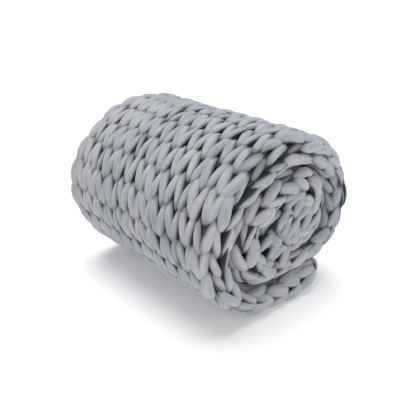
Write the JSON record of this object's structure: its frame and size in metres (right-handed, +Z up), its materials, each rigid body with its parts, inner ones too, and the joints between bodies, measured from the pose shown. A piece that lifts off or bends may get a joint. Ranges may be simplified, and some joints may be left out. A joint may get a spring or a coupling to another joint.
{
  "type": "weighted blanket",
  "caption": "Chunky hand-knit weighted blanket in soft grey yarn, folded lengthwise and rolled up, lying on its side.",
  "frame": {"origin": "on the surface it lies on, under the middle of the roll's box", "axes": "+X along the roll, towards the end whose outer folded edge faces out; +Z up; the tail of the roll lies on the +Y side"},
  "size_m": [0.4228, 0.3902, 0.337],
  "materials": {
    "grey_yarn": "matte soft jersey tube yarn"
  },
  "bodies": {
    "root": {"blanket_roll": "grey_yarn"}
  },
  "joints": []
}
